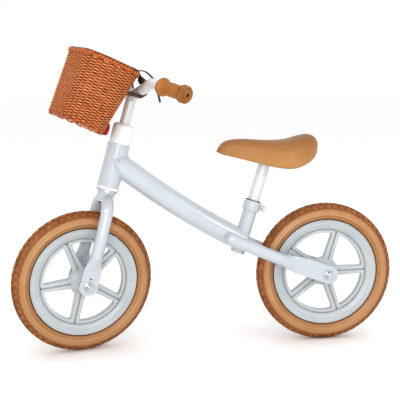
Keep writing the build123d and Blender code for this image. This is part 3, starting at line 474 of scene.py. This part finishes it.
white_abs, tree = start_surface("moulded_white_abs")
where = add_node(tree, "TexCoord")
cloud = add_node(tree, "TexNoise", {"Vector": where.outputs["Object"], "Scale": 18.0, "Detail": 3.0})
shade = add_node(tree, "ValToRGB", {0: cloud.outputs[0]})
set_colours(shade, (0.3, "#DADBDB"), (0.7, "#E1E2E2"))
rough = add_node(tree, "MapRange", {"Value": cloud.outputs[0], "To Min": 0.28, "To Max": 0.38})
grain = add_node(tree, "TexNoise", {"Vector": where.outputs["Object"], "Scale": 1500.0, "Detail": 1.0})
bump = add_node(tree, "Bump", {"Height": grain.outputs[0], "Strength": 0.15, "Distance": 0.00004})
shader = add_node(tree, "BsdfPrincipled", {
    "Base Color": shade.outputs[0], "Roughness": rough.outputs[0], "Normal": bump.outputs[0],
    "IOR": 1.5})
add_node(tree, "OutputMaterial", {"Surface": shader.outputs[0]})
finish_nodes(white_abs, "head_cover", "lower_head_cup")

# ---- Grips ----
# Soft tan rubber sleeves pushed on the bar ends: a hand-stop flange inside, a slim body, fine rings
# and a round grooved knob at the end with a small vent. Shade is painted into the grooves, and the
# vent's bore is painted black as shade.
grip_rubber, tree = start_surface("tan_grip_rubber")
where = add_node(tree, "TexCoord")
cloud = add_node(tree, "TexNoise", {"Vector": where.outputs["Object"], "Scale": 40.0, "Detail": 4.0})
# The groove attribute paints shade into the rings' and the knob's grooves, darkening them toward deep
# brown.
groove = add_node(tree, "Attribute", attribute_name="groove")
mottle_and_groove_shade = add_node(tree, "Math", {0: groove.outputs["Fac"], 1: -0.5, 2: cloud.outputs[0]},
                 operation="MULTIPLY_ADD")
shade = add_node(tree, "ValToRGB", {0: mottle_and_groove_shade.outputs[0]})
set_colours(shade, (0.0, "#5A3516"), (0.32, "#A06A34"), (0.55, "#AA743D"), (0.75, "#B48049"))
rough = add_node(tree, "MapRange", {"Value": cloud.outputs[0], "To Min": 0.42, "To Max": 0.55})
grain = add_node(tree, "TexNoise", {"Vector": where.outputs["Object"], "Scale": 1100.0, "Detail": 2.0})
bump = add_node(tree, "Bump", {"Height": grain.outputs[0], "Strength": 0.35, "Distance": 0.00008})
shader = add_node(tree, "BsdfPrincipled", {
    "Base Color": shade.outputs[0], "Roughness": rough.outputs[0], "Normal": bump.outputs[0],
    "IOR": 1.5, "Subsurface Weight": 0.05, "Subsurface Radius": (0.004, 0.002, 0.001)})
add_node(tree, "OutputMaterial", {"Surface": shader.outputs[0]})

grip_start = 31.0
grip_cap = 4.0
first_ring, ring_pitch = 56.0, 4.4
knob_depth, knob_radius = 9.0, 18.2
for side, sign in (("left", 1), ("right", -1)):
    bend = Vector((-0.005, sign * 0.084, 0.440))
    tip = Vector((-0.041, sign * 0.1852, 0.4342))
    along = (tip - bend).normalized()
    total = (tip - bend).length * 1000 - grip_start + grip_cap
    profile = [(0.0, 11.15), (0.0, 15.8), (0.6, 17.4), (2.2, 18.4), (4.6, 18.6), (7.4, 18.0),
               (9.6, 16.4), (11.4, 14.6), (14.0, 13.7), (24.0, 13.9), (36.0, 14.2), (46.0, 14.0),
               (54.0, 13.6)]
    grooves = []
    ring = first_ring
    while ring < total - 12.0:
        share = (ring - first_ring) / (total - 68.0)
        height = 14.2 + 3.6 * math.sin(min(1.0, share * 1.15) * math.pi / 2)
        grooves += [len(profile), len(profile) + 3]
        profile += [(ring, height - 1.3), (ring + 0.6, height), (ring + 2.6, height + 0.2),
                    (ring + 3.2, height - 1.2)]
        ring += ring_pitch
    for slant in (14, 30, 46, 62):
        for turn_on, depth in ((0, 0.0), (9, 0.0), (10, 1.3), (15, 1.3)):
            lean = math.radians(slant + turn_on)
            grooves += [len(profile)] if depth else []
            profile.append((total - knob_depth + (knob_depth - depth) * math.sin(lean),
                            (knob_radius - depth) * math.cos(lean)))
    profile += [(total - 0.1, 3.6), (total - 0.5, 3.0), (total - 9.0, 2.8), (total - 9.1, 0.0)]
    bm = bmesh.new()
    groove_layer = bm.verts.layers.float.new("groove")
    line = [bm.verts.new((radius / 1000, 0, height / 1000)) for height, radius in profile]
    # Marks the groove vertices that get painted shade.
    for index in grooves:
        line[index][groove_layer] = 1.0
    for first, second in zip(line, line[1:]):
        bm.edges.new((first, second))
    bmesh.ops.spin(bm, geom=bm.verts[:] + bm.edges[:], cent=(0, 0, 0), axis=(0, 0, 1), angle=math.tau,
                   steps=56, use_merge=True)
    place = (head_frame @ Matrix.Translation(bend + along * (grip_start / 1000))
             @ along.to_track_quat("Z", "Y").to_matrix().to_4x4())
    # The vent's bore takes the black rubber: painted shade down the hole.
    for face in bm.faces:
        middle = face.calc_center_median()
        if math.hypot(middle.x, middle.y) < 0.0031 and middle.z < (total - 0.6) / 1000:
            face.material_index = 1
    piece = make_piece(f"{side}_rubber_grip", bm, "handlebar",
                       [grip_rubber, black_butyl], place)
    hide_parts("grip_" + side)

# ---- Saddle ----
# Tan leatherette pulled tight over a moulded foam pad and stapled under the pan. It is crowned along
# the nose, flares to the rear, and its hem turns under all round. Shade is painted on by height, so
# the colour darkens toward the crown.
leatherette, tree = start_surface("tan_pvc_leatherette")
where = add_node(tree, "TexCoord")
cloud = add_node(tree, "TexNoise", {"Vector": where.outputs["Object"], "Scale": 16.0, "Detail": 4.0})
axes = add_node(tree, "SeparateXYZ", {0: where.outputs["Object"]})
# Painted shade: the colour darkens with height from the hem up to the crown.
lift = add_node(tree, "MapRange", {"Value": axes.outputs["Z"], "From Min": 0.40, "From Max": 0.46,
                                   "To Min": 0.75, "To Max": 0.1})
mottle_and_painted_top_shade = add_node(tree, "Math", {0: cloud.outputs[0], 1: 0.25, 2: lift.outputs[0]},
                 operation="MULTIPLY_ADD")
shade = add_node(tree, "ValToRGB", {0: mottle_and_painted_top_shade.outputs[0]})
set_colours(shade, (0.15, "#825A2E"), (0.5, "#A17443"), (0.9, "#B38A58"))
rough = add_node(tree, "MapRange", {"Value": cloud.outputs[0], "To Min": 0.38, "To Max": 0.5})
pebble = add_node(tree, "TexVoronoi", {"Vector": where.outputs["Object"], "Scale": 620.0},
                  feature="DISTANCE_TO_EDGE")
bump = add_node(tree, "Bump", {"Height": pebble.outputs[0], "Strength": 0.3, "Distance": 0.00012})
shader = add_node(tree, "BsdfPrincipled", {
    "Base Color": shade.outputs[0], "Roughness": rough.outputs[0], "Normal": bump.outputs[0],
    "IOR": 1.48, "Sheen Weight": 0.08})
add_node(tree, "OutputMaterial", {"Surface": shader.outputs[0]})

# Each station of the saddle: x, half width, crown height and hem height in mm.
saddle_stations = [
    (-24.5, 8.0, 427.0, 419.5), (-33.0, 15.0, 437.5, 417.5), (-48.0, 20.0, 446.0, 414.0),
    (-78.0, 25.0, 449.0, 406.5), (-112.0, 34.0, 446.8, 397.5), (-148.0, 50.0, 445.3, 389.5),
    (-180.0, 60.0, 447.5, 387.0), (-205.0, 58.0, 454.0, 394.0), (-225.0, 47.0, 457.0, 404.5),
    (-240.0, 31.0, 451.0, 419.0), (-247.0, 18.0, 443.0, 430.0)]


def saddle_at(x):
    """Half width, crown height and hem height of the saddle at a station, smoothed."""
    stations = saddle_stations
    for index in range(len(stations) - 1):
        if stations[index + 1][0] <= x:
            break
    before, low = stations[max(index - 1, 0)], stations[index]
    high, after = stations[index + 1], stations[min(index + 2, len(stations) - 1)]
    span = high[0] - low[0]
    t = (x - low[0]) / span
    values = []
    for k in (1, 2, 3):
        m0 = (high[k] - before[k]) / (high[0] - before[0]) * span
        m1 = (after[k] - low[k]) / (after[0] - low[0]) * span
        values.append((2 * t**3 - 3 * t**2 + 1) * low[k] + (t**3 - 2 * t**2 + t) * m0
                      + (-2 * t**3 + 3 * t**2) * high[k] + (t**3 - t**2) * m1)
    return values


# A sphere is drawn out to the saddle's outline: its poles lie at the nose and the tail, and the
# way round it from the crown gives the side, the hem, its turned-in lip and the hollow below.
nose, tail = saddle_stations[0][0], saddle_stations[-1][0]
saddle_middle, half_length = (nose + tail) / 2, (nose - tail) / 2
pinch_start = 0.88
bm = bmesh.new()
bmesh.ops.create_uvsphere(bm, u_segments=64, v_segments=48, radius=1.0)
bmesh.ops.rotate(bm, verts=bm.verts, matrix=Matrix.Rotation(math.pi / 2, 3, "Y"))
for vert in bm.verts:
    reach = max(-1.0, min(1.0, vert.co.x))
    station = 1 - 2 * math.acos(reach) / math.pi
    x = saddle_middle + half_length * station
    half, crown, hem = saddle_at(min(nose, max(tail, x)))
    past = max(0.0, (abs(station) - pinch_start) / (1 - pinch_start))
    pinch = math.sqrt(max(0.0, 1 - past ** 2))
    rise = crown - hem
    half, crown, hem = (half * pinch, hem + rise * (0.45 + 0.55 * pinch),
                        hem + rise * (0.45 - 0.45 * pinch))
    inset = min(6.0, half * 0.3)
    angle = math.atan2(vert.co.y, vert.co.z)
    turn = abs(angle) / math.pi
    middle = hem + (crown - hem) * 0.52
    if turn < 0.5:
        lean = turn * math.pi
        y = half * math.sin(lean) ** 0.9
        z = middle + (crown - middle) * math.cos(lean) ** 0.85
    elif turn < 0.68:
        t = (turn - 0.5) / 0.18
        y = half * (1 - 0.1 * t * t)
        z = middle + (hem - middle) * math.sin(t * math.pi / 2)
    elif turn < 0.76:
        t = (turn - 0.68) / 0.08
        y = half * 0.9 - inset * t
        z = hem + 0.6 * math.sin(t * math.pi)
    elif turn < 0.84:
        t = (turn - 0.76) / 0.08
        y = half * 0.9 - inset
        z = hem + t * (crown - hem) * 0.4
    else:
        t = (turn - 0.84) / 0.16
        y = (half * 0.9 - inset) * (1 - t)
        z = hem + (crown - hem) * 0.42
    vert.co = Vector((x, math.copysign(y, angle), z)) / 1000
piece = make_piece("padded_saddle_cover", bm, "seat", [leatherette])
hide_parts("saddle_cover")

# ---- Basket ----
# A willow basket: thin red-brown rods woven in front of and behind upright stakes, a thick plaited rim
# with a dark rod on top, a twisted and looped foot border, and a plain floor board. Shade is painted
# into each rod where it lies recessed, behind a stake or inside the plait.
wicker, tree = start_surface("stained_split_willow")
where = add_node(tree, "TexCoord")
# The tone attribute holds each rod's own tone together with painted shade where the rod lies recessed.
tone = add_node(tree, "Attribute", attribute_name="tone")
cloud = add_node(tree, "TexNoise", {"Vector": where.outputs["Object"], "Scale": 120.0, "Detail": 4.0})
mixed = add_node(tree, "Math", {0: tone.outputs["Fac"], 1: cloud.outputs[0]}, operation="ADD")
halved = add_node(tree, "Math", {0: mixed.outputs[0], 1: 0.5}, operation="MULTIPLY")
shade = add_node(tree, "ValToRGB", {0: halved.outputs[0]})
set_colours(shade, (0.16, "#2E150A"), (0.36, "#8E4A24"), (0.56, "#BE7440"), (0.85, "#D89A66"))
fibre = add_node(tree, "TexNoise", {"Vector": where.outputs["Object"], "Scale": 900.0, "Detail": 3.0})
bump = add_node(tree, "Bump", {"Height": fibre.outputs[0], "Strength": 0.4, "Distance": 0.0002})
rough = add_node(tree, "MapRange", {"Value": cloud.outputs[0], "To Min": 0.38, "To Max": 0.56})
shader = add_node(tree, "BsdfPrincipled", {
    "Base Color": shade.outputs[0], "Roughness": rough.outputs[0], "Normal": bump.outputs[0],
    "IOR": 1.5})
add_node(tree, "OutputMaterial", {"Surface": shader.outputs[0]})

basket_frame = (head_frame @ Matrix.Translation((0.0775, 0, 0.4612))
                @ Matrix.Rotation(math.radians(-8.2), 4, "Y"))
stakes = 43
basket_height, basket_depth, basket_width, basket_corner = 136.0, 122.0, 200.0, 50.0


def basket_outline(share, height, inset):
    """A point of the basket's outline at a share of its way round, and the way out."""
    down = -height / basket_height
    depth = basket_depth - 26.0 * down - 2 * inset
    width = basket_width - 35.0 * down - 2 * inset
    corner = basket_corner - 10.0 * down - inset
    long_side, short_side, arc = width - 2 * corner, depth - 2 * corner, corner * math.pi / 2
    walk = (share % 1.0) * (2 * long_side + 2 * short_side + 4 * arc)
    x, y, heading = depth / 2, -long_side / 2, 0.0
    for straight, bend in ((long_side, 1), (short_side, 2), (long_side, 3), (short_side, 4)):
        if walk <= straight:
            x -= walk * math.sin(heading)
            y += walk * math.cos(heading)
            break
        x -= straight * math.sin(heading)
        y += straight * math.cos(heading)
        walk -= straight
        if walk <= arc:
            swing = walk / corner
            x += corner * (math.cos(heading + swing) - math.cos(heading))
            y += corner * (math.sin(heading + swing) - math.sin(heading))
            heading += swing
            break
        x += corner * (math.cos(heading + math.pi / 2) - math.cos(heading))
        y += corner * (math.sin(heading + math.pi / 2) - math.sin(heading))
        walk -= arc
        heading += math.pi / 2
    return Vector((x + 6.5 * down, y, height)), Vector((math.cos(heading), math.sin(heading), 0))


hoop_radius = 10.0


def make_hoop(sides, steps):
    """A plain hoop that lay_rod bends into a rod round the basket."""
    bm = bmesh.new()
    section = bmesh.ops.create_circle(bm, segments=sides, radius=1.0)["verts"]
    bmesh.ops.rotate(bm, verts=section, matrix=Matrix.Rotation(math.pi / 2, 3, "X"))
    bmesh.ops.translate(bm, verts=section, vec=(hoop_radius, 0, 0))
    bmesh.ops.spin(bm, geom=bm.verts[:] + bm.edges[:], cent=(0, 0, 0), axis=(0, 0, 1), angle=math.tau,
                   steps=steps, use_merge=True)
    hoop = bpy.data.meshes.new("hoop")
    bm.to_mesh(hoop)
    bm.free()
    return hoop


def lay_rod(bm, tone_layer, hoop, radius_out, radius_up, path, tone_value):
    """Bends a hoop round the basket along a path given by share of the way round."""
    start = len(bm.verts)
    bm.from_mesh(hoop)
    bm.verts.ensure_lookup_table()
    for vert in bm.verts[start:]:
        share = (math.atan2(vert.co.y, vert.co.x) / math.tau) % 1.0
        outwards = math.hypot(vert.co.x, vert.co.y) - hoop_radius
        # The path's third value is painted shade, darkening the rod where it lies recessed.
        place, out, shade = path(share)
        vert[tone_layer] = tone_value + shade + 0.05 * math.sin(share * 61.0 + tone_value * 40.0)
        vert.co = place + out * outwards * radius_out + Vector((0, 0, vert.co.z * radius_up))


def start_weave():
    """An empty bmesh with the layer that holds each rod's tone, painted shade in the recesses
    included.
    """
    bm = bmesh.new()
    return bm, bm.verts.layers.float.new("tone")


def finish_weave(name, bm):
    """Turns a bmesh of rods in mm into a piece of the basket."""
    bmesh.ops.scale(bm, verts=bm.verts, vec=(0.001, 0.001, 0.001))
    return make_piece(name, bm, "handlebar", [wicker], basket_frame)


lowest_rod, rod_pitch, rows = -134.3, 2.83, 45
wall_inset = 2.3
rod_hoop = make_hoop(6, stakes * 4)
bm, tone_layer = start_weave()
for row in range(rows):
    height = lowest_rod + row * rod_pitch
    swing = 1.0 if row % 2 else -1.0

    def woven(share, height=height, swing=swing):
        place, out = basket_outline(share, height, wall_inset)
        weave = swing * math.cos(share * stakes * math.pi)
        # Painted shade: the rod darkens where the weave takes it in behind a stake.
        return place + out * weave * 1.8, out, 0.42 * weave

    lay_rod(bm, tone_layer, rod_hoop, 1.25, 1.54, woven, (row * 0.618) % 1.0 * 0.24 + 0.5)
piece = finish_weave("basket_woven_wall", bm)
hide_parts("basket")

bm, tone_layer = start_weave()
for stake in range(stakes):
    share = (stake + 0.5) / stakes
    foot = basket_outline(share, -137.0, wall_inset)[0]
    top = basket_outline(share, -4.0, wall_inset)[0]
    rod = bmesh.ops.create_cone(bm, cap_ends=True, segments=8, radius1=0.0019, radius2=0.0017,
                                depth=(top - foot).length / 1000)["verts"]
    aim = (top - foot).to_track_quat("Z", "Y").to_matrix().to_4x4()
    bmesh.ops.transform(bm, matrix=Matrix.Translation((top + foot) / 2000) @ aim, verts=rod)
    for vert in rod:
        vert[tone_layer] = 0.45
make_piece("basket_stakes", bm, "handlebar", [wicker], basket_frame)

bm, tone_layer = start_weave()
disc = bmesh.ops.create_circle(bm, cap_ends=True, segments=96, radius=1.0)["verts"]
for vert in disc:
    share = (math.atan2(vert.co.y, vert.co.x) / math.tau) % 1.0
    vert.co = basket_outline(share, -133.0, 3.0)[0]
    vert[tone_layer] = 0.4
bmesh.ops.extrude_face_region(bm, geom=bm.faces[:])
bmesh.ops.translate(bm, verts=disc, vec=(0, 0, -3.0))
bmesh.ops.scale(bm, verts=bm.verts, vec=(0.001, 0.001, 0.001))
make_piece("basket_floor_board", bm, "handlebar", [wicker], basket_frame, smooth=False)

bm, tone_layer = start_weave()
rim_hoop = make_hoop(8, 360)
for strand in range(3):
    phase = strand * math.tau / 3

    def plaited(share, phase=phase):
        place, out = basket_outline(share, -4.5, 1.4)
        angle = share * math.tau * 24 + phase
        lifted = place + out * 1.5 * math.sin(2 * angle) + Vector((0, 0, 2.4 * math.sin(angle)))
        # Painted shade: the strand darkens where the plait takes it inwards.
        return lifted, out, 0.18 * math.sin(2 * angle)

    lay_rod(bm, tone_layer, rim_hoop, 2.5, 2.4, plaited, 0.36 + strand * 0.08)


def capped(share):
    """The path of the dark rod along the top of the rim."""
    place, out = basket_outline(share, 0.6, 2.6)
    return place, out, 0.0


lay_rod(bm, tone_layer, rim_hoop, 1.9, 1.6, capped, 0.12)
piece = finish_weave("basket_plaited_rim", bm)
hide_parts("basket_rim")

bm, tone_layer = start_weave()
for strand in range(2):
    phase = strand * math.pi

    def twisted(share, phase=phase):
        place, out = basket_outline(share, -137.6, 2.2)
        angle = share * math.tau * 26 + phase
        wound = place + out * 1.4 * math.cos(angle) + Vector((0, 0, 1.2 * math.sin(angle)))
        return wound, out, 0.0

    lay_rod(bm, tone_layer, rim_hoop, 1.6, 1.6, twisted, 0.4 + strand * 0.12)


def looped(share):
    """The path of the rod that hangs in twenty small loops under the foot border."""
    place, out = basket_outline(share, -138.5, 2.4)
    return place - Vector((0, 0, 5.0 * abs(math.sin(share * math.pi * 20)))), out, 0.0


lay_rod(bm, tone_layer, rim_hoop, 1.2, 1.2, looped, 0.5)
piece = finish_weave("basket_foot_border", bm)
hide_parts("basket_border")

# ---- Straps and buffer ----
# Two dark brown leather belts hold the basket to the bar, each with a keeper and a free tail,
# the left one shorter. A wine-red rubber buffer on the basket's foot points at the head cap.
strap_leather, tree = start_surface("dark_brown_waxed_leather")
where = add_node(tree, "TexCoord")
cloud = add_node(tree, "TexNoise", {"Vector": where.outputs["Object"], "Scale": 150.0, "Detail": 5.0})
shade = add_node(tree, "ValToRGB", {0: cloud.outputs[0]})
set_colours(shade, (0.3, "#3A2820"), (0.7, "#5C463C"))
bump = add_node(tree, "Bump", {"Height": cloud.outputs[0], "Strength": 0.5, "Distance": 0.0002})
shader = add_node(tree, "BsdfPrincipled", {
    "Base Color": shade.outputs[0], "Roughness": 0.5, "Normal": bump.outputs[0]})
add_node(tree, "OutputMaterial", {"Surface": shader.outputs[0]})

red_rubber, tree = start_surface("wine_red_rubber")
where = add_node(tree, "TexCoord")
cloud = add_node(tree, "TexNoise", {"Vector": where.outputs["Object"], "Scale": 90.0, "Detail": 4.0})
shade = add_node(tree, "ValToRGB", {0: cloud.outputs[0]})
set_colours(shade, (0.3, "#8E1A22"), (0.7, "#A8262C"))
rough = add_node(tree, "MapRange", {"Value": cloud.outputs[0], "To Min": 0.25, "To Max": 0.4})
shader = add_node(tree, "BsdfPrincipled", {
    "Base Color": shade.outputs[0], "Roughness": rough.outputs[0], "IOR": 1.5})
add_node(tree, "OutputMaterial", {"Surface": shader.outputs[0]})

for node, name, slot, surface in (
        ("strap_left", "left_leather_strap", "strap_leather", strap_leather),
        ("strap_right", "right_leather_strap", "strap_leather", strap_leather),
        ("strap_buckles", "leather_strap_keepers", "strap_leather", strap_leather),
        ("basket_bumper", "red_buffer", "red_rubber", red_rubber)):
    bm = bmesh.new()
    bm.from_mesh(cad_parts[node].data)
    bmesh.ops.remove_doubles(bm, verts=bm.verts, dist=1e-6)
    bmesh.ops.dissolve_limit(bm, angle_limit=math.radians(1), verts=bm.verts, edges=bm.edges)
    sharp = [edge for edge in bm.edges if edge.is_manifold and edge.calc_face_angle() > 0.9]
    bmesh.ops.bevel(bm, geom=sharp, affect="EDGES", offset=0.0005, segments=2, profile=0.5,
                    material=-1, clamp_overlap=True)
    bmesh.ops.triangulate(bm, faces=bm.faces)
    piece = make_piece(name, bm, "handlebar", [surface])
    piece.data.set_sharp_from_angle(angle=math.radians(35))
    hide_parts(node)

# A tail's spine from the keeper down: forward of the head axis and up along it, in mm.
tail_points = [(19.0, 456.8), (12.0, 459.0), (6.0, 460.3), (0.0, 460.3), (-8.0, 457.4), (-18.0, 452.0),
               (-32.0, 446.5), (-48.0, 441.0), (-62.0, 433.5), (-71.0, 425.0), (-77.0, 415.0),
               (-80.0, 409.0)]
for side, sign, points in (("left", 1, tail_points[:8]), ("right", -1, tail_points)):
    bm = bmesh.new()
    last = None
    spine = [Vector((forward, 0, height)) for forward, height in points]
    for index, point in enumerate(spine):
        run = (spine[min(index + 1, len(spine) - 1)] - spine[max(index - 1, 0)]).normalized()
        lift = Vector((-run.z, 0, run.x)) * 0.9
        corners = [point + Vector((0, y, 0)) + lift * z
                   for y, z in ((-4.5, 1), (4.5, 1), (4.5, -1), (-4.5, -1))]
        ring = [bm.verts.new(corner) for corner in corners]
        if last:
            for k in range(4):
                bm.faces.new((last[k], last[(k + 1) % 4], ring[(k + 1) % 4], ring[k]))
        else:
            bm.faces.new(ring)
        last = ring
    bm.faces.new(last)
    bmesh.ops.subdivide_edges(bm, edges=bm.edges, cuts=1, smooth=0.6)
    bmesh.ops.translate(bm, verts=bm.verts, vec=(0, sign * 42.0, 0))
    bmesh.ops.scale(bm, verts=bm.verts, vec=(0.001, 0.001, 0.001))
    make_piece(f"{side}_strap_tail", bm, "handlebar", [strap_leather], head_frame)
